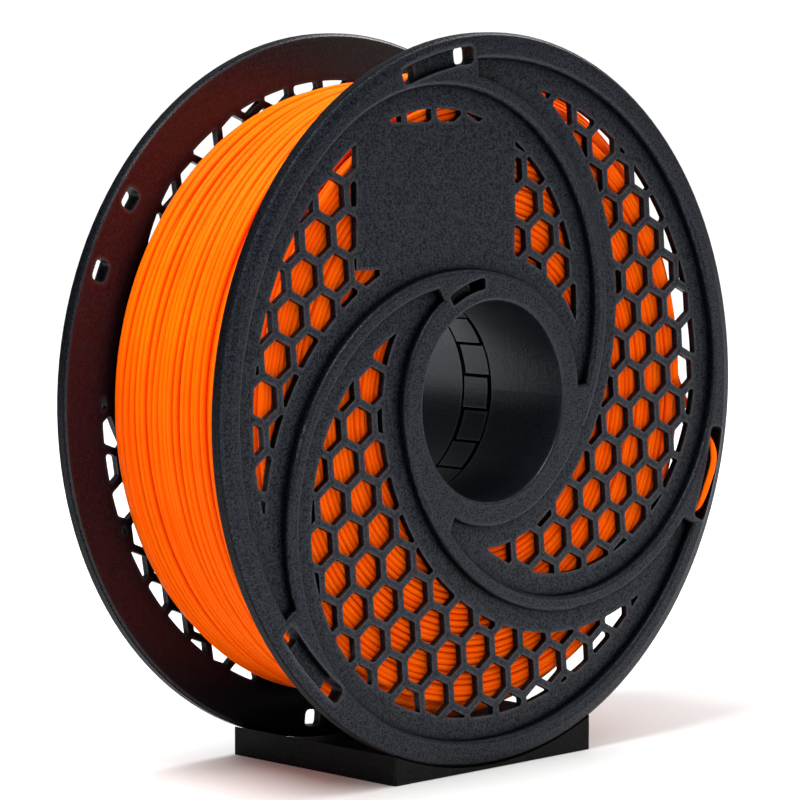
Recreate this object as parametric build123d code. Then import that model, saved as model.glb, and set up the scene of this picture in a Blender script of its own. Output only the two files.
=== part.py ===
from build123d import *
import os
from math import acos, atan2, cos, degrees, radians, sin, sqrt, tan

# Filament spool standing in a low cradle. Millimetres, +Z up, the spool's axis along Y and the
# front flange towards -Y. The origin is on the table, under the middle of the spool.

# ---- driving dimensions -----------------------------------------------------------------------
SPOOL_DIA = 200.0
SPOOL_WIDTH = 66.5
BORE_DIA = 55.0
BARREL_DIA = 75.0
FILAMENT_DIA = 1.75

RIM_FALL = [(3.4, 0.0), (0.8, 0.7), (0.0, 1.4)]   # outer face by the edge: distance in, and down
RIM_BACK_EDGE = 0.8          # bevel between the outer edge and the flat inner side
RIM_INNER_R = 93.0           # where the raised rim steps down to the perforated fields
FIELD_DEPTH = 2.5            # how far the fields lie below the flange's outer face
WEB_THICKNESS = 2.0          # plate left under the fields
HUB_R = 34.3                 # raised ring round the bore
SECTORS = 3

# ---- curved arms: bands between two circles, one touching the rim and one touching the hub ------
ARM_OFFSET = 31.4            # from the spool's axis to the centre of the arm's circles
ARM_ANGLE = 129.5            # where that centre lies, seen from the front
FIELD_START = 94.0           # first field: blunt end at the rim
FIELD_END = -116.0           # first field: blunt end at the hub
EDGE_ROUND = 1.1

# ---- honeycomb ----------------------------------------------------------------------------------
CELL_PITCH = 11.3
CELL_ACROSS = 9.2            # across the flats
CELL_TURN = 4.98             # direction of the rows in the first field
CELL_ORIGIN = (1.48, -3.54)
CELL_CORNER = 0.9
FIELD_MARGIN = 6.2           # plain border between the field's edge and the cells
SMALLEST_CELL = 1.2          # area, square millimetres
LABEL_SECTOR = 1
LABEL_FLAT = (-50.0, 37.4, 10.2, 76.0)   # plain panel, from the spool's axis: left, low, right, high

# ---- clip pockets in the rim, and the one in the hub ----------------------------------------------
CLIP_ANGLE = 103.6
CLIP_HALF_ANGLE = 8.35
CLIP_RADII = (92.0, 96.8)
CLIP_HOLE_ANGLE = 3.6
CLIP_DEPTH = 1.9
CLIP_CORNER = 1.4
START_ANGLES = (96.5, 121.0)
START_RADII = (31.0, 34.2)
START_HOLE_ANGLES = (8.0, 3.6)
START_CORNER = 0.85

# ---- hub tube, with fingers that mesh with the other half's ----------------------------------------
TUBE_WALL = 2.5
BARREL_WALL = 2.0
BORE_LIP = 0.8
FINGERS = 9
FINGER_ANGLE = 17.2          # middle of the first finger
FINGER_REACH = 5.3           # the fingers' band is this wide each side of the middle
FINGER_END_GAP = 1.2
FINGER_SIDE_GAP = 0.65
FINGER_CORNER = 0.3
ROOT_GROOVE = (0.8, 0.5)     # width and depth of the groove at the fingers' roots
RIB_THICKNESS = 1.6
FLIP_ANGLE = 7.2             # the rear half is the front half turned over about this line
SEAM_GAP = 0.05

# ---- winding, its free end and the cradle ------------------------------------------------------------
WINDING_PLAY = 0.2
WINDING_EDGE_R = (81.4, 82.2)            # at the front flange and at the rear flange
WINDING_CROWN = [                        # Y and radius between them
    (-25.5, 84.6),
    (-20.5, 87.8),
    (-14.0, 89.4),
    (-7.0, 88.4),
    (1.0, 86.9),
    (11.0, 86.2),
    (20.0, 85.6),
    (25.2, 84.8),
]
BARREL_PLAY = 0.1
CRADLE_LEFT = -36.8
CRADLE_RIGHT = 40.8
CRADLE_DEPTH = 64.4
CRADLE_WEB = 1.0             # material left under the lowest point of the rim
CRADLE_PLAY = 0.3
CRADLE_EDGE = 0.6
OVERCUT = 1.0                # how far cutters run past what they cut

BEND_SHARE = 0.45            # share of the shorter run beside a corner that its bend takes
# The free end of the filament: angle seen from the front, radius from the axis, and Y.
TAIL_ROUTE = [
    (30.0, 88.9, -17.6),
    (18.0, 89.0, -17.7),
    (9.0, 89.4, -18.1),
    (2.0, 90.1, -19.2),
    (-3.2, 91.3, -22.0),
    (-7.0, 92.8, -25.8),
    (-9.4, 93.8, -29.4),
    (-11.3, 94.1, -32.5),
    (-13.7, 94.1, -34.2),
    (-16.8, 94.1, -33.9),
    (-21.9, 94.0, -32.8),
    (-23.4, 93.9, -30.9),
    (-24.4, 93.4, -27.0),
]

RIM_R = SPOOL_DIA / 2
BORE_R = BORE_DIA / 2
HALF_WIDTH = SPOOL_WIDTH / 2
PLATE_DEPTH = FIELD_DEPTH + WEB_THICKNESS
AXIS_HEIGHT = CRADLE_WEB + CRADLE_PLAY + RIM_R
SECTOR_ANGLE = 360.0 / SECTORS


def polar(radius, angle, middle=(0.0, 0.0)):
    """Point at a radius and an angle in degrees about a middle point."""
    return (middle[0] + radius * cos(radians(angle)), middle[1] + radius * sin(radians(angle)))


def reach(angle, centre_angle, radius):
    """Distance from the axis, along a ray, to an arm's circle."""
    turn = radians(angle - centre_angle)
    return ARM_OFFSET * cos(turn) + sqrt(radius**2 - (ARM_OFFSET * sin(turn)) ** 2)


def meeting(from_axis, radius):
    """Angle, from an arm's centre line, at which its circle has a given distance from the axis."""
    return degrees(acos((from_axis**2 + ARM_OFFSET**2 - radius**2) / (2 * from_axis * ARM_OFFSET)))


def arc(middle, radius, first, last):
    """Arc about a middle point, between the directions of two angles."""
    return ThreePointArc(
        polar(radius, first, middle), polar(radius, (first + last) / 2, middle), polar(radius, last, middle)
    )


def bearing(point, middle):
    """Angle in degrees of a point seen from a middle point."""
    return degrees(atan2(point[1] - middle[1], point[0] - middle[0]))


def arm_arc(centre_angle, radius, first, last):
    """Arc of an arm's circle between two rays from the axis, the second clockwise of the first."""
    middle = polar(ARM_OFFSET, centre_angle)
    start = bearing(polar(reach(first, centre_angle, radius), first), middle)
    end = bearing(polar(reach(last, centre_angle, radius), last), middle)
    while end > start:
        end -= 360.0
    return arc(middle, radius, start, end)


def field(margin=0.0):
    """First perforated field, or its outline drawn in by a margin, as a flat face."""
    rim = RIM_INNER_R - margin
    hub = HUB_R + margin
    own_circle = HUB_R + ARM_OFFSET + margin         # outer edge of the arm that the field starts under
    next_circle = RIM_INNER_R - ARM_OFFSET - margin  # inner edge of the arm that closes the field
    next_angle = ARM_ANGLE - SECTOR_ANGLE
    touch = ARM_ANGLE - 180.0
    if margin:
        start = ARM_ANGLE - meeting(rim, own_circle)
        end = next_angle - meeting(hub, next_circle)
    else:
        start = FIELD_START
        end = FIELD_END
    edges = [
        arc((0.0, 0.0), rim, start, next_angle),
        arm_arc(next_angle, next_circle, next_angle, end),
        arc((0.0, 0.0), hub, end, touch),
        arm_arc(ARM_ANGLE, own_circle, start, touch),
    ]
    if not margin:
        edges.append(Line(polar(rim, start), polar(reach(start, ARM_ANGLE, own_circle), start)))
        edges.append(Line(polar(hub, end), polar(reach(end, next_angle, next_circle), end)))
    return make_face(edges)


def turned(shape, count):
    """A shape of the first sector, turned into another sector."""
    return Rot(0, 0, SECTOR_ANGLE * count) * shape


def rounded(face, radius):
    """Face with its corners rounded, less where an edge is too short for the full radius."""
    for trial in (radius, radius / 2, radius / 4):
        try:
            return fillet(face.vertices(), trial)
        except (ValueError, RuntimeError):
            continue
    return face


def honeycomb(sector):
    """Faces of the cells in one field; cells at its border are cut off by it."""
    border = field(FIELD_MARGIN)
    if sector == LABEL_SECTOR:
        left, low, right, high = LABEL_FLAT
        panel = Pos((left + right) / 2, (low + high) / 2) * Rectangle(right - left, high - low)
        border -= turned(panel, -sector)
    corner_r = CELL_ACROSS / sqrt(3)
    span = int(RIM_R / CELL_PITCH) + 2
    cells = []
    for row in range(-span, span + 1):
        for column in range(-2 * span, 2 * span + 1):
            along = (column + row / 2) * CELL_PITCH
            across = row * CELL_PITCH * sqrt(3) / 2
            spot = Pos(*CELL_ORIGIN) * Rot(0, 0, CELL_TURN) * Pos(along, across)
            if not HUB_R < Vector(spot.position.X, spot.position.Y).length < RIM_INNER_R:
                continue
            cell = (spot * RegularPolygon(corner_r, 6, rotation=30)) & border
            for piece in cell.faces():
                if piece.area > SMALLEST_CELL:
                    cells.append(turned(rounded(piece, CELL_CORNER), sector))
    return cells


def ring_window(radii, first, last, corner):
    """Part of a ring between two angles, with rounded corners, as a flat face."""
    inner, outer = radii
    window = make_face([
        arc((0.0, 0.0), outer, first, last),
        Line(polar(outer, last), polar(inner, last)),
        arc((0.0, 0.0), inner, last, first),
        Line(polar(inner, first), polar(outer, first)),
    ])
    return fillet(window.vertices(), corner)


def cut_down(face, depth):
    """Cutter that removes a face's area from the outer side down to a depth."""
    return extrude(Pos(0, 0, -depth) * face, depth + OVERCUT)


def clip_cutters(first, last, radii, hole_angles, corner):
    """Shallow pocket with a hole through the flange at each end."""
    return [
        cut_down(ring_window(radii, first, last, corner), CLIP_DEPTH),
        cut_down(ring_window(radii, first, first + hole_angles[0], corner), PLATE_DEPTH + OVERCUT),
        cut_down(ring_window(radii, last - hole_angles[1], last, corner), PLATE_DEPTH + OVERCUT),
    ]


def flange_and_barrel():
    """Turned body of one half: flange, hub tube and half of the barrel. The outer face is at z = 0."""
    finger_root = HALF_WIDTH - FINGER_REACH
    barrel_r = BARREL_DIA / 2
    profile = Polyline(
        (BORE_R, 0),
        *[(RIM_R - inwards, -down) for inwards, down in RIM_FALL],
        (RIM_R, -PLATE_DEPTH + RIM_BACK_EDGE),
        (RIM_R - RIM_BACK_EDGE, -PLATE_DEPTH),
        (barrel_r, -PLATE_DEPTH),
        (barrel_r, -HALF_WIDTH + SEAM_GAP),
        (barrel_r - BARREL_WALL, -HALF_WIDTH + SEAM_GAP),
        (barrel_r - BARREL_WALL, -PLATE_DEPTH),
        (BORE_R + TUBE_WALL, -PLATE_DEPTH),
        (BORE_R + TUBE_WALL, -finger_root),
        (BORE_R, -finger_root),
        close=True,
    )
    return revolve(Plane.XZ * make_face(profile), Axis.Z)


def fingers():
    """Fingers on the end of the hub tube, and the ribs behind them."""
    root = HALF_WIDTH - FINGER_REACH
    length = 2 * FINGER_REACH - FINGER_END_GAP
    half_angle = 180.0 / (2 * FINGERS) - degrees(FINGER_SIDE_GAP / 2 / BORE_R)
    wall = (BORE_R, BORE_R + TUBE_WALL)
    finger = extrude(ring_window(wall, -half_angle, half_angle, FINGER_CORNER), length + OVERCUT)
    barrel_inner = BARREL_DIA / 2 - BARREL_WALL
    rib_low = BORE_R + TUBE_WALL / 2
    rib_high = barrel_inner + BARREL_WALL / 2
    rib_depth = root - PLATE_DEPTH
    rib = Pos((rib_low + rib_high) / 2, 0, -PLATE_DEPTH - rib_depth / 2) * Box(
        rib_high - rib_low, RIB_THICKNESS, rib_depth
    )
    pieces = []
    for number in range(FINGERS):
        turn = Rot(0, 0, FINGER_ANGLE + number * 360.0 / FINGERS)
        pieces.append(turn * Pos(0, 0, -root - length) * finger)
        pieces.append(turn * rib)
    return pieces


def spool_half():
    """One moulded half of the spool, outer face up."""
    half = flange_and_barrel()
    for sector in range(SECTORS):
        half -= cut_down(turned(field(), sector), FIELD_DEPTH)
    outer_edges = half.edges().group_by(Axis.Z)[-1]
    half = fillet(outer_edges.filter_by(lambda edge: not edge.is_closed), EDGE_ROUND)
    rings = half.edges().group_by(Axis.Z)[-1].filter_by(lambda edge: edge.is_closed)
    half = fillet(rings.sort_by(SortBy.RADIUS)[0], BORE_LIP)
    half += fingers()
    groove_width, groove_depth = ROOT_GROOVE
    half -= Pos(0, 0, -HALF_WIDTH + FINGER_REACH) * (
        Cylinder(BORE_R + groove_depth, groove_width) - Cylinder(BORE_R - OVERCUT, groove_width)
    )
    for sector in range(SECTORS):
        half -= extrude(Pos(0, 0, -PLATE_DEPTH - OVERCUT) * Sketch(honeycomb(sector)), PLATE_DEPTH)
        middle = CLIP_ANGLE + sector * SECTOR_ANGLE
        half -= clip_cutters(
            middle - CLIP_HALF_ANGLE,
            middle + CLIP_HALF_ANGLE,
            CLIP_RADII,
            (CLIP_HOLE_ANGLE, CLIP_HOLE_ANGLE),
            CLIP_CORNER,
        )
    half -= clip_cutters(*START_ANGLES, START_RADII, START_HOLE_ANGLES, START_CORNER)
    return half


def upright(shape):
    """Stand a shape drawn with its axis along Z up on the table, front towards -Y."""
    return Pos(0, 0, AXIS_HEIGHT) * Rot(90, 0, 0) * shape


def winding():
    """Wound filament as one solid ring, fuller near the front flange."""
    end = HALF_WIDTH - PLATE_DEPTH - WINDING_PLAY
    front_r, rear_r = WINDING_EDGE_R
    inner_r = BARREL_DIA / 2 + BARREL_PLAY
    outline = [(-end, front_r), *WINDING_CROWN, (end, rear_r)]
    outer = Spline(*[(radius, -y) for y, radius in outline])
    sides = Polyline((rear_r, -end), (inner_r, -end), (inner_r, end), (front_r, end))
    return upright(revolve(Plane.XZ * make_face([outer, sides]), Axis.Z))


def tail():
    """Free end of the filament, clipped through a pocket of the front flange."""
    points = []
    for angle, radius, y in TAIL_ROUTE:
        x, z = polar(radius, angle)
        points.append(Vector(x, y, z + AXIS_HEIGHT))
    radii = []
    for before, here, after in zip(points, points[1:], points[2:]):
        turn = (here - before).get_angle(after - here)
        shorter = min((here - before).length, (after - here).length)
        radii.append(BEND_SHARE * shorter / tan(radians(turn / 2)))
    print("tail radii", [round(radius, 1) for radius in radii])
    path = FilletPolyline(*points, radius=radii)
    section = Plane(origin=points[0], z_dir=points[1] - points[0]) * Circle(FILAMENT_DIA / 2)
    tube = sweep(section, path=path)
    expected = section.area * path.length
    print("tail length", round(path.length, 2), "volume ratio", round(tube.volume / expected, 4))
    return tube


def cradle():
    """Low block with a round seat that the flanges stand in."""
    middle = (CRADLE_LEFT + CRADLE_RIGHT) / 2
    height = AXIS_HEIGHT - sqrt((RIM_R + CRADLE_PLAY) ** 2 - CRADLE_RIGHT**2) + OVERCUT
    block = Pos(middle, 0, height / 2) * Box(CRADLE_RIGHT - CRADLE_LEFT, CRADLE_DEPTH, height)
    block = chamfer(block.edges().filter_by(Axis.Z), CRADLE_EDGE)
    seat = upright(Cylinder(RIM_R + CRADLE_PLAY, CRADLE_DEPTH + 2 * OVERCUT))
    return block - seat


def export_all():
    """Write every part to its own file."""
    os.makedirs("parts", exist_ok=True)
    half = Pos(0, 0, HALF_WIDTH) * spool_half()
    flip_line = Axis((0, 0, 0), (*polar(1.0, FLIP_ANGLE), 0.0))
    parts = {
        "front_spool_half": upright(half),
        "rear_spool_half": upright(half.rotate(flip_line, 180.0)),
        "filament_winding": winding(),
        "filament_tail": tail(),
        "cradle": cradle(),
    }
    for name, shape in parts.items():
        export_step(shape, f"parts/{name}.step")
        print(name, round(shape.volume / 1000, 1), "cm3", len(shape.solids()), "solid(s)")


export_all()
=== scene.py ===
import math
from random import Random

import bpy
import numpy as np
from mathutils import Matrix, Vector


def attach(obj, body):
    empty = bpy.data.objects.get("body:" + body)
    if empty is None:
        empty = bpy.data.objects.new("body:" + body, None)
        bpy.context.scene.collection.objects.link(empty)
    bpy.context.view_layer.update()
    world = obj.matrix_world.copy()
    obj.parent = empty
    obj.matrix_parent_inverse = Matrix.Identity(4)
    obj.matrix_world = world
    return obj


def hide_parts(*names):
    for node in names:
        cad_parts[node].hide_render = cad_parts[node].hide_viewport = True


# Looks of a filament spool standing in a low cradle, in metres, in the CAD part's own frame.

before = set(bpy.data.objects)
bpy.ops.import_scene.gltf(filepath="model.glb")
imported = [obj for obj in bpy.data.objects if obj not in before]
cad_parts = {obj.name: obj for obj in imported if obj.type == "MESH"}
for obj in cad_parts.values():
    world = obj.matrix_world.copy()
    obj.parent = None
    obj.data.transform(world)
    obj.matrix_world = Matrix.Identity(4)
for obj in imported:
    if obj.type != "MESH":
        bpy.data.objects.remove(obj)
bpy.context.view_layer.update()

MM = 0.001
SPOOL_AXIS = Vector((0.0, 0.0, 0.1013))
SPOOL_BODY = "spool"
FILAMENT_R = 0.875 * MM

# Radii and distances from the middle plane that tell the spool's surfaces apart.
BORE_R = (27.6 * MM, 28.1 * MM)
# RIM_R bounds the band of painted shade at the rim's outer edge.
RIM_R = (99.5 * MM, 99.8 * MM)
FLANGE_INSIDE = (28.8 * MM, 29.2 * MM)

scene = bpy.context.scene
scene.view_settings.view_transform = "Standard"

# ---- camera ------------------------------------------------------------------------------------
CAMERA_PLACE = (-0.71091, -0.71168, 0.19229)
CAMERA_AZIMUTH, CAMERA_ELEVATION, CAMERA_ROLL = (math.radians(a) for a in (-44.836, 5.271, 0.116))
CAMERA_LENS, SENSOR_WIDTH = 163.19, 36.0     # millimetres

camera_data = bpy.data.cameras.new("camera")
camera_data.lens = CAMERA_LENS
camera_data.sensor_width = SENSOR_WIDTH
camera_data.clip_start = 0.05
camera_data.clip_end = 50.0
camera = bpy.data.objects.new("camera", camera_data)
camera.matrix_world = (
    Matrix.Translation(CAMERA_PLACE)
    @ Matrix.Rotation(CAMERA_AZIMUTH, 4, "Z")
    @ Matrix.Rotation(math.pi / 2 - CAMERA_ELEVATION, 4, "X")
    @ Matrix.Rotation(CAMERA_ROLL, 4, "Z")
)
scene.collection.objects.link(camera)
scene.camera = camera

# ---- the filament's free end: angle seen from the front in degrees, radius and Y in millimetres ----
TAIL_ROUTE = [
    (30.0, 88.9, -17.6),
    (18.0, 89.0, -17.7),
    (9.0, 89.4, -18.1),
    (2.0, 90.1, -19.2),
    (-3.2, 91.3, -22.0),
    (-7.0, 92.8, -25.8),
    (-9.4, 93.8, -29.4),
    (-11.3, 94.1, -32.5),
    (-13.7, 94.1, -34.2),
    (-16.8, 94.1, -33.9),
    (-21.9, 94.0, -32.8),
    (-23.4, 93.9, -30.9),
    (-24.4, 93.4, -27.0),
]


def on_spool(angle, radius, y):
    """Point at an angle in degrees and a radius about the spool's axis."""
    turn = math.radians(angle)
    return SPOOL_AXIS + Vector((radius * math.cos(turn), y, radius * math.sin(turn)))


tail_points = [on_spool(angle, radius * MM, y * MM) for angle, radius, y in TAIL_ROUTE]
tail_curve = bpy.data.curves.new("filament_end", "CURVE")
tail_curve.dimensions = "3D"
tail_curve.resolution_u = 12
tail_curve.bevel_depth = 1.0
tail_curve.bevel_resolution = 5
tail_curve.use_fill_caps = True
tail_line = tail_curve.splines.new("NURBS")
tail_line.points.add(len(tail_points) - 1)
for control, place in zip(tail_line.points, tail_points):
    control.co = (*place, 1.0)
    control.radius = FILAMENT_R
tail_line.order_u = 3
tail_line.use_endpoint_u = True
tail_piece = bpy.data.objects.new("filament_end", tail_curve)
scene.collection.objects.link(tail_piece)
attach(tail_piece, SPOOL_BODY)
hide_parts("filament_tail")


# ---- materials -----------------------------------------------------------------------------------
class Nodes:
    """A material's node tree, built call by call."""

    def __init__(self, name):
        self.material = bpy.data.materials.new(name)
        self.material.use_nodes = True
        self.tree = self.material.node_tree
        self.shader = self.tree.nodes["Principled BSDF"]
        self.place = self.add("ShaderNodeTexCoord").outputs["Object"]

    def add(self, kind, settings=None, **inputs):
        """New node with its properties and inputs set; an input may be a value or a socket."""
        node = self.tree.nodes.new(kind)
        for key, value in (settings or {}).items():
            setattr(node, key, value)
        for key, value in inputs.items():
            self.feed(node, key.replace("_", " "), value)
        return node

    def feed(self, node, key, value):
        """Sets a node's input to a value, or links a socket to it."""
        socket = node.inputs[key]
        if isinstance(value, bpy.types.NodeSocket):
            self.tree.links.new(value, socket)
        else:
            socket.default_value = value

    def maths(self, operation, *values, kind="ShaderNodeMath", output="Value"):
        """Result of a sum on numbers or, with another kind of node, on vectors."""
        node = self.add(kind, {"operation": operation})
        for index, value in enumerate(values):
            self.feed(node, index, value)
        return node.outputs[output]

    def noise(self, scale, detail, roughness=0.55, stretch=None):
        """Noise over the piece's own coordinates, 0 to 1; scale is in cells per metre."""
        place = self.place
        if stretch:
            place = self.add("ShaderNodeMapping", Vector=place, Scale=stretch).outputs["Vector"]
        node = self.add("ShaderNodeTexNoise", Vector=place, Scale=scale, Detail=detail, Roughness=roughness)
        return node.outputs["Fac"]

    def spread(self, value, low, high, from_low=0.3, from_high=0.7):
        """Maps a value from one range to another, held at its ends."""
        names = ("Value", "From Min", "From Max", "To Min", "To Max")
        node = self.add("ShaderNodeMapRange")
        for name, setting in zip(names, (value, from_low, from_high, low, high)):
            self.feed(node, name, setting)
        return node.outputs["Result"]

    def mix(self, fac, first, second):
        """Mix of two colours, or of two numbers given as greys."""
        node = self.add("ShaderNodeMix", {"data_type": "RGBA"})
        self.feed(node, 0, fac)
        self.feed(node, 6, first)
        self.feed(node, 7, second)
        return node.outputs[2]

    def bump(self, height, distance, strength, under=None):
        """Bump of a height, on top of another bump."""
        node = self.add("ShaderNodeBump", Height=height, Distance=distance, Strength=strength)
        if under is not None:
            self.feed(node, "Normal", under)
        return node.outputs["Normal"]

    def surface(self, **inputs):
        """Sets the shader's inputs and returns the finished material."""
        for key, value in inputs.items():
            self.feed(self.shader, key.replace("_", " "), value)
        return self.material


def grey(level):
    """Neutral colour, or a number as the mix node takes it."""
    return (level, level, level, 1.0)


def moulded_plastic():
    """Black moulded plastic: spark-eroded grain outside, polished inside the bore and the flanges, with
    painted shade in corners and on the rim's outer band, painted highlights on edges and a painted orange
    reflection between the flanges.
    """
    n = Nodes("spool_plastic")
    from_axis = n.maths("SUBTRACT", n.place, SPOOL_AXIS, kind="ShaderNodeVectorMath", output="Vector")
    x, y, z = n.add("ShaderNodeSeparateXYZ", Vector=from_axis).outputs
    radius = n.maths("SQRT", n.maths("ADD", n.maths("MULTIPLY", x, x), n.maths("MULTIPLY", z, z)))
    in_bore = n.spread(radius, 1.0, 0.0, *BORE_R)
    in_gap = n.spread(n.maths("ABSOLUTE", y), 1.0, 0.0, *FLANGE_INSIDE)
    smooth = n.maths("MAXIMUM", in_bore, in_gap)
    between_flanges = n.maths("MULTIPLY", in_gap, n.maths("SUBTRACT", 1.0, in_bore))

    # Painted shade: corners and the rim's outer band are darkened in colour and in reflections. Painted
    # highlight: edges are paler; they are also smoother.
    open_sky = n.add("ShaderNodeAmbientOcclusion", {"samples": 6}, Distance=6.0 * MM).outputs["AO"]
    # Painted shade: the rim's outer band, beyond 99.5 mm, is darkened to 30 %.
    painted_rim_shade = n.spread(radius, 1.0, 0.3, *RIM_R)
    # Painted shade: how far a point is darkened, from ambient occlusion in corners and from the rim band.
    shade = n.maths("MULTIPLY", n.spread(open_sky, 0.06, 1.0, 0.42, 0.93), painted_rim_shade)
    inside = {"samples": 4, "inside": True}
    within = n.add("ShaderNodeAmbientOcclusion", inside, Distance=1.3 * MM).outputs["AO"]
    edge = n.spread(within, 1.0, 0.0, 0.35, 0.92)

    grain = n.noise(2600.0, detail=2.0, roughness=0.6)
    speck = n.noise(1900.0, detail=2.0, roughness=0.7)
    cloud = n.noise(38.0, detail=4.0)
    pit, grain_top = (0.0003, 0.0005, 0.0015, 1.0), (0.0078, 0.0094, 0.0155, 1.0)
    # Painted highlight: the second colour on the next line is the pale colour that edges take.
    clouded, painted_edge_highlight = (0.0042, 0.0043, 0.0056, 1.0), (0.050, 0.052, 0.058, 1.0)
    # Painted shade: the near-black colour that corners and recesses fall to.
    painted_corner_shade = (0.0004, 0.0004, 0.0006, 1.0)
    colour = n.mix(n.spread(speck, 0.0, 1.0, 0.36, 0.64), pit, grain_top)
    colour = n.mix(n.spread(cloud, 0.0, 0.3), colour, clouded)
    # Painted highlight: convex edges are paled.
    colour = n.mix(n.maths("MULTIPLY", edge, 0.75), colour, painted_edge_highlight)
    # Painted shade: corners and recesses are darkened towards near-black.
    colour = n.mix(shade, painted_corner_shade, colour)

    matt = n.maths("SUBTRACT", n.spread(speck, 0.33, 0.50), n.maths("MULTIPLY", edge, 0.12))
    rough = n.mix(smooth, matt, grey(0.28))
    polish = n.mix(between_flanges, grey(0.36), grey(0.30))
    shine = n.mix(smooth, n.spread(speck, 0.08, 0.42, 0.36, 0.64), polish)
    # Painted reflection: between the flanges the reflections are tinted orange, as if lit by the filament;
    # elsewhere they are tinted cool.
    cool, painted_orange_reflection = (0.78, 0.87, 1.0, 1.0), (1.0, 0.70, 0.48, 1.0)
    coarse_bump = n.bump(n.noise(620.0, detail=2.0), 0.06 * MM, 0.8)
    return n.surface(
        Base_Color=colour,
        Roughness=rough,
        # Painted shade: reflections are dimmed in corners and on the rim band.
        Specular_IOR_Level=n.maths("MULTIPLY", shine, shade),
        Specular_Tint=n.mix(between_flanges, cool, painted_orange_reflection),
        Normal=n.bump(grain, 0.08 * MM, 0.9, under=coarse_bump),
    )


def cradle_plastic():
    """Black, slightly coarser plastic of the cradle."""
    n = Nodes("cradle_plastic")
    grain = n.noise(1300.0, detail=3.0, roughness=0.7)
    cloud = n.noise(60.0, detail=4.0)
    pit, grain_top = (0.0004, 0.0004, 0.0005, 1.0), (0.0075, 0.0075, 0.0074, 1.0)
    return n.surface(
        Base_Color=n.mix(n.spread(grain, 0.0, 1.0, 0.36, 0.64), pit, grain_top),
        Roughness=n.spread(cloud, 0.5, 0.62),
        Specular_IOR_Level=0.09,
        Normal=n.bump(grain, 0.12 * MM, 0.9),
    )


def filament_plastic():
    """Bright orange extruded plastic; each turn differs a little, and the lower layer and the core are
    darker as painted shade in the grooves, both held in the mesh attribute 'tone'.
    """
    n = Nodes("filament")
    tone = n.add("ShaderNodeAttribute", {"attribute_name": "tone"}).outputs["Fac"]
    fine = n.noise(900.0, detail=2.0, stretch=(1.0, 3.0, 1.0))
    cloud = n.noise(30.0, detail=3.0)
    red_orange, orange = (0.92, 0.106, 0.0003, 1.0), (0.95, 0.138, 0.0005, 1.0)
    deep_orange_and_groove_shade = (0.80, 0.062, 0.0004, 1.0)
    colour = n.mix(n.spread(cloud, 0.0, 1.0), red_orange, orange)
    return n.surface(
        Base_Color=n.mix(n.spread(tone, 0.0, 0.65, 0.0, 1.0), colour, deep_orange_and_groove_shade),
        Roughness=n.spread(fine, 0.34, 0.46),
        Specular_IOR_Level=0.02,
        Subsurface_Weight=0.10,
        Subsurface_Scale=0.8 * MM,
        Normal=n.bump(fine, 0.02 * MM, 0.5),
    )


def paper_floor():
    """White studio floor, greyer where the object stands as painted shade."""
    n = Nodes("floor")
    away = n.maths("LENGTH", n.place, kind="ShaderNodeVectorMath")
    cloud = n.noise(6.0, detail=2.0)
    painted_shade_near = n.mix(cloud, (0.60, 0.60, 0.595, 1.0), (0.63, 0.63, 0.625, 1.0))
    return n.surface(
        # Painted shade: the floor darkens towards the object.
        Base_Color=n.mix(n.spread(away, 0.0, 1.0, 0.16, 0.75), painted_shade_near, grey(0.90)),
        Roughness=n.spread(cloud, 0.55, 0.65),
        Specular_IOR_Level=0.3,
    )


SPOOL_PLASTIC = moulded_plastic()
CRADLE_PLASTIC = cradle_plastic()
FILAMENT = filament_plastic()

for node, material in (
    ("front_spool_half", SPOOL_PLASTIC),
    ("rear_spool_half", SPOOL_PLASTIC),
    ("cradle", CRADLE_PLASTIC),
):
    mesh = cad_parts[node].data
    mesh.materials.clear()
    mesh.materials.append(material)
tail_curve.materials.append(FILAMENT)


# ---- winding ---------------------------------------------------------------------------------------
CORE_R = 38.0 * MM
WINDING_MIDDLE_R = 60.0 * MM     # between the winding's inner and outer surfaces
UNDER_SINK = 1.45                # millimetres; how far the closed layer lies below the top turns
CORE_SINK = 3.3 * MM             # how far the core lies below the winding's surface
LAYER_PITCH = 1.77 * MM
TOP_PITCHES = (1.75, 1.85, 2.6, 3.0, 3.3, 3.6)     # millimetres, drawn at random
CROSSING_PITCH = 12.5 * MM
CROSSING_START = 296.0           # degrees
CROSSING_LIFT = 0.6 * MM
# The swell's middle and its widths on both sides, in degrees, and its share of the height along Y.
SWELL_ANGLE = 56.0
SWELL_BEFORE, SWELL_AFTER = 33.0, 23.0
SWELL_HEIGHT = 2.7 * MM
SWELL_Y = np.array([-28.4, -25.0, -14.0, -2.0]) * MM
SWELL_SHARE = [0.0, 0.85, 1.0, 0.0]


def winding_outline():
    """Y and radius of the winding's outer surface, front to rear, read from its CAD solid."""
    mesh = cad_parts["filament_winding"].data
    co = np.empty(len(mesh.vertices) * 3)
    mesh.vertices.foreach_get("co", co)
    co = co.reshape(-1, 3) - np.array(SPOOL_AXIS)
    radius = np.hypot(co[:, 0], co[:, 2])
    outer = radius > WINDING_MIDDLE_R
    y, first = np.unique(np.round(co[outer, 1], 6), return_index=True)
    return y, radius[outer][first]


OUTLINE_Y, OUTLINE_R = winding_outline()
WINDING_FRONT, WINDING_REAR = OUTLINE_Y[0], OUTLINE_Y[-1]


def wound_radius(angle, y):
    """Radius of the winding's surface, which is fullest near the front, at the upper right."""
    away = (np.degrees(angle) - SWELL_ANGLE + 180.0) % 360.0 - 180.0
    width = np.where(away > 0.0, SWELL_AFTER, SWELL_BEFORE)
    swell = SWELL_HEIGHT * np.exp(-((away / width) ** 2)) * np.interp(y, SWELL_Y, SWELL_SHARE)
    return np.interp(y, OUTLINE_Y, OUTLINE_R) + swell


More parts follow.
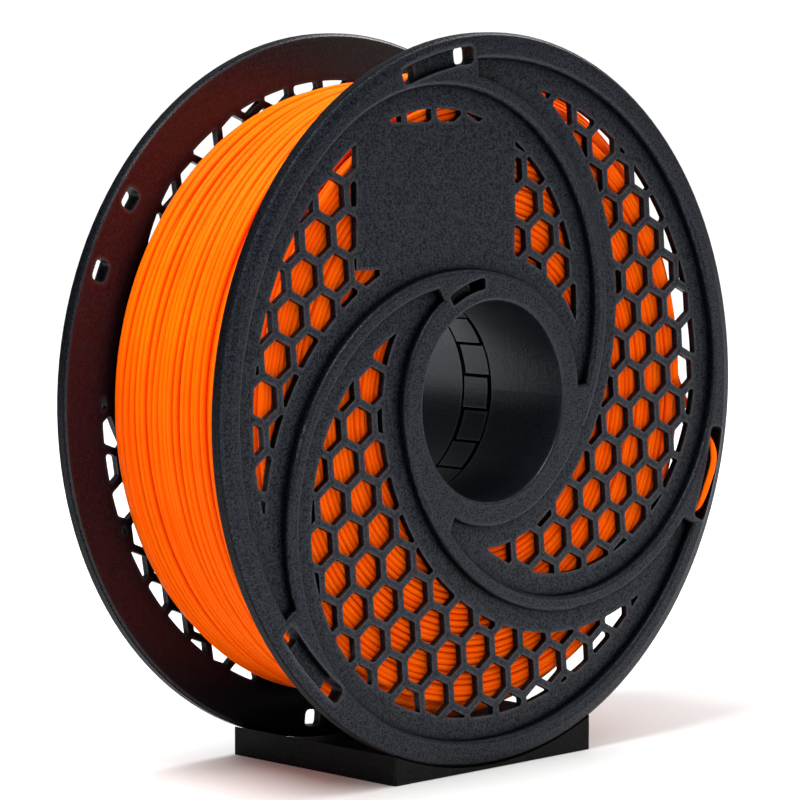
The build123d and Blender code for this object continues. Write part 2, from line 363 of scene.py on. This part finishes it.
def wave(rng, count, size, turns):
    """Smooth random function of an angle in radians: sines that repeat from about turns times a circle."""
    parts = [
        (rng.uniform(0.4, 1.0), turns * (k + rng.uniform(0.6, 1.2)), rng.uniform(0, math.tau))
        for k in range(count)
    ]
    total = sum(share for share, _, _ in parts)
    return lambda a: size * sum(s * np.sin(f * a + p) for s, f, p in parts) / total


def per_turn(rng, number, count, low, high):
    """Random value for each turn, running smoothly from one turn to the next."""
    return np.interp(number, np.arange(count), [rng.uniform(low, high) for _ in range(count)])


def filament_mesh(name, co, faces, tone):
    """Mesh about the spool's axis with the filament's material and a tone for each point."""
    mesh = bpy.data.meshes.new(name)
    mesh.from_pydata((co.reshape(-1, 3) + np.array(SPOOL_AXIS)).tolist(), [], faces)
    layer = mesh.attributes.new("tone", "FLOAT", "POINT")
    layer.data.foreach_set("value", tone.astype(np.float32))
    mesh.materials.append(FILAMENT)
    return mesh


def tube_mesh(name, angle, radius, y, tone, sides):
    """Tube of the filament's thickness round the spool's axis, through points given by arrays."""
    section = np.linspace(0.0, math.tau, sides, endpoint=False)
    out = radius[:, None] + FILAMENT_R * np.cos(section)[None, :]
    along = y[:, None] + FILAMENT_R * np.sin(section)[None, :]
    co = np.stack([out * np.cos(angle)[:, None], along, out * np.sin(angle)[:, None]], axis=-1)
    count = len(angle)
    ring = np.arange(count - 1)[:, None] * sides
    side = np.arange(sides)[None, :]
    after = (side + 1) % sides
    quads = np.stack([ring + side, ring + after, ring + sides + after, ring + sides + side], axis=-1)
    faces = quads.reshape(-1, 4).tolist()
    faces.append(list(range(sides))[::-1])
    faces.append([(count - 1) * sides + k for k in range(sides)])
    mesh = filament_mesh(name, co, faces, np.repeat(tone, sides))
    mesh.polygons.foreach_set("use_smooth", [True] * (len(faces) - 2) + [False] * 2)
    mesh.update()
    return mesh


def add_piece(name, mesh):
    """New piece that turns with the spool and takes the filament's finish."""
    piece = bpy.data.objects.new(name, mesh)
    scene.collection.objects.link(piece)
    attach(piece, SPOOL_BODY)
    return piece


def under_turns():
    """The outermost full layer: one strand, turn beside turn."""
    rng = Random(11)
    turns, steps = 33, 160
    first, last = WINDING_FRONT + FILAMENT_R, WINDING_REAR - FILAMENT_R
    angle = np.linspace(0.0, math.tau * turns, turns * steps + 1)
    number = angle / math.tau
    lay = per_turn(rng, number, turns + 2, -0.2, 0.2)
    sway = wave(rng, 5, 0.25 * MM, 1.0)
    y = first + (number - 0.5) * (last - first) / (turns - 1) + lay * MM + sway(angle * 1.013)
    y = np.clip(y, first, last)
    sink = per_turn(rng, number, turns + 2, 0.0, 0.35)
    radius = wound_radius(angle, y) - FILAMENT_R - (UNDER_SINK + sink) * MM
    # The under turns' tone runs darker than the top turns': painted shade in the grooves, on top of a
    # random tone for each turn.
    tone = per_turn(rng, number, turns + 2, 0.4, 1.0)
    return tube_mesh("winding_under", angle, radius, y, tone, 8)


def top_turns():
    """Looser turns on that layer, some side by side and some with a groove between them."""
    rng = Random(29)
    steps = 200
    first, last = WINDING_FRONT + FILAMENT_R, WINDING_REAR - FILAMENT_R
    places = [first]
    while places[-1] < last:
        places.append(places[-1] + rng.choice(TOP_PITCHES) * MM)
    places[-1] = last
    turns = len(places)
    angle = np.linspace(0.0, math.tau * turns, turns * steps + 1)
    number = angle / math.tau
    y = np.interp(number - 0.5, np.arange(turns), places)
    sway = wave(rng, 6, 0.5 * MM, 0.8)
    y = np.clip(y + sway(angle * 1.007), first, last)
    lift = per_turn(rng, number, turns + 1, -0.25, 0.15)
    radius = wound_radius(angle, y) - FILAMENT_R + (lift - 0.1) * MM
    tone = per_turn(rng, number, turns + 1, 0.0, 0.55)
    return tube_mesh("winding_top", angle, radius, y, tone, 10)


def crossing_turns():
    """The last turns, which run back over the others at a steeper pitch."""
    rng = Random(5)
    steps = 220
    start, end = WINDING_FRONT + 3.0 * MM, WINDING_REAR - 2.0 * MM
    turns = (end - start) / CROSSING_PITCH
    angle = math.radians(CROSSING_START) + np.linspace(0.0, math.tau * turns, int(turns * steps))
    sway = wave(rng, 4, 0.5 * MM, 0.7)
    y = start + (angle - angle[0]) / math.tau * CROSSING_PITCH + sway(angle)
    radius = wound_radius(angle, y) - FILAMENT_R + CROSSING_LIFT
    tone = 0.25 + 0.25 * np.sin(angle * 0.7)
    return tube_mesh("winding_crossing", angle, radius, y, tone, 10)


def side_turns(name, seed, sign):
    """Ends of the layers at one flange, a flat spiral of strand: sign is -1 at the front, 1 at the rear."""
    rng = Random(seed)
    steps = 150
    edge_y, edge_r = (WINDING_FRONT, OUTLINE_R[0]) if sign < 0 else (WINDING_REAR, OUTLINE_R[-1])
    turns = (edge_r - FILAMENT_R - CORE_R - FILAMENT_R) / LAYER_PITCH
    angle = np.linspace(0.0, math.tau * turns, int(turns * steps))
    number = angle / math.tau
    lean = per_turn(rng, number, int(turns) + 3, 0.0, 0.7)
    sway = wave(rng, 5, 0.25 * MM, 0.9)
    radius = CORE_R + FILAMENT_R + number * LAYER_PITCH + sway(angle)
    depth = lean * MM + np.abs(sway(angle * 1.7 + 1.0))
    y = edge_y - sign * (FILAMENT_R + depth)
    tone = per_turn(rng, number, int(turns) + 3, 0.0, 1.0)
    return tube_mesh(name, angle, radius, y, tone, 8)


def core_mesh():
    """Ring under the visible strands, so that no light passes between them."""
    inset = 1.5 * MM
    count = 160
    y = np.linspace(WINDING_FRONT + inset, WINDING_REAR - inset, 24)
    angle = np.linspace(0.0, math.tau, count, endpoint=False)
    outer = wound_radius(angle[:, None], y[None, :]) - CORE_SINK
    loop_y = np.concatenate([y, y[::-1]])
    loop_r = np.concatenate([outer, np.full((count, len(y)), CORE_R)], axis=1)
    along = np.broadcast_to(loop_y, loop_r.shape)
    co = np.stack([loop_r * np.cos(angle)[:, None], along, loop_r * np.sin(angle)[:, None]], axis=-1)
    size = len(loop_y)
    i, j = np.arange(count)[:, None], np.arange(size)[None, :]
    i_next, j_next = (i + 1) % count, (j + 1) % size
    quads = np.stack([i * size + j, i_next * size + j, i_next * size + j_next, i * size + j_next], axis=-1)
    # The core takes the darkest tone: painted shade in the gaps between strands.
    mesh = filament_mesh("winding_core", co, quads.reshape(-1, 4).tolist(), np.ones(count * size))
    mesh.update()
    return mesh


core = add_piece("winding_core", core_mesh())
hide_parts("filament_winding")
add_piece("winding_under", under_turns())
add_piece("winding_top", top_turns())
add_piece("winding_crossing", crossing_turns())
add_piece("winding_front_face", side_turns("winding_front_face", 21, -1))
add_piece("winding_rear_face", side_turns("winding_rear_face", 22, 1))

# ---- floor, light ------------------------------------------------------------------------------------
FLOOR_HALF = 4.0
floor_corners = [(x * FLOOR_HALF, y * FLOOR_HALF, 0.0) for x, y in ((-1, -1), (1, -1), (1, 1), (-1, 1))]
floor_mesh = bpy.data.meshes.new("floor")
floor_mesh.from_pydata(floor_corners, [], [(0, 1, 2, 3)])
floor_mesh.materials.append(paper_floor())
floor = bpy.data.objects.new("floor", floor_mesh)
scene.collection.objects.link(floor)

LIGHT_TARGET = Vector((0.0, 0.0, 0.1))


def soft_light(name, place, size, power):
    """Square soft box aimed at the spool; its size is in metres and its power in watts."""
    data = bpy.data.lights.new(name, "AREA")
    data.shape = "SQUARE"
    data.size = size
    data.energy = power
    light = bpy.data.objects.new(name, data)
    light.location = place
    light.rotation_euler = (LIGHT_TARGET - Vector(place)).to_track_quat("-Z", "Y").to_euler()
    scene.collection.objects.link(light)


soft_light("overhead", (-0.35, 0.0, 0.97), 0.45, 14.5)
soft_light("right", (0.8, 0.1, 0.85), 0.35, 4.5)

# The room is a white tent: brightest overhead, dim in reflections and towards the left behind.
SHADE_SIDE = (-0.88, 0.47, 0.0)
BACKDROP_LEVEL = 1.05        # what the camera sees of the room
GLOSSY_LEVEL = 0.24          # share of its light that reflections show
world = bpy.data.worlds.new("studio")
scene.world = world
world.use_nodes = True
links = world.node_tree.links
make = world.node_tree.nodes.new
background = world.node_tree.nodes["Background"]
look = make("ShaderNodeTexCoord").outputs["Generated"]
split = make("ShaderNodeSeparateXYZ")
links.new(look, split.inputs["Vector"])
seen = make("ShaderNodeLightPath").outputs


def ramp(value, low, high, at_low, at_high):
    """Value mapped from one range to another, held at its ends."""
    node = make("ShaderNodeMapRange")
    links.new(value, node.inputs["Value"])
    for name, number in (("From Min", low), ("From Max", high), ("To Min", at_low), ("To Max", at_high)):
        node.inputs[name].default_value = number
    return node.outputs["Result"]


def times(first, second):
    """Product of two values."""
    node = make("ShaderNodeMath")
    node.operation = "MULTIPLY"
    links.new(first, node.inputs[0])
    links.new(second, node.inputs[1])
    return node.outputs[0]


towards_shade = make("ShaderNodeVectorMath")
towards_shade.operation = "DOT_PRODUCT"
links.new(look, towards_shade.inputs[0])
towards_shade.inputs[1].default_value = SHADE_SIDE
by_height = ramp(split.outputs["Z"], -0.2, 1.0, 0.58, 2.0)
by_side = ramp(towards_shade.outputs["Value"], -0.1, 0.6, 1.0, 0.5)
lit = times(times(by_height, by_side), ramp(seen["Is Glossy Ray"], 0.0, 1.0, 1.0, GLOSSY_LEVEL))
shown = make("ShaderNodeMix")
shown.data_type = "FLOAT"
links.new(seen["Is Camera Ray"], shown.inputs[0])
links.new(lit, shown.inputs[2])
shown.inputs[3].default_value = BACKDROP_LEVEL
links.new(shown.outputs[0], background.inputs["Strength"])
background.inputs["Color"].default_value = (1.0, 1.0, 1.0, 1.0)
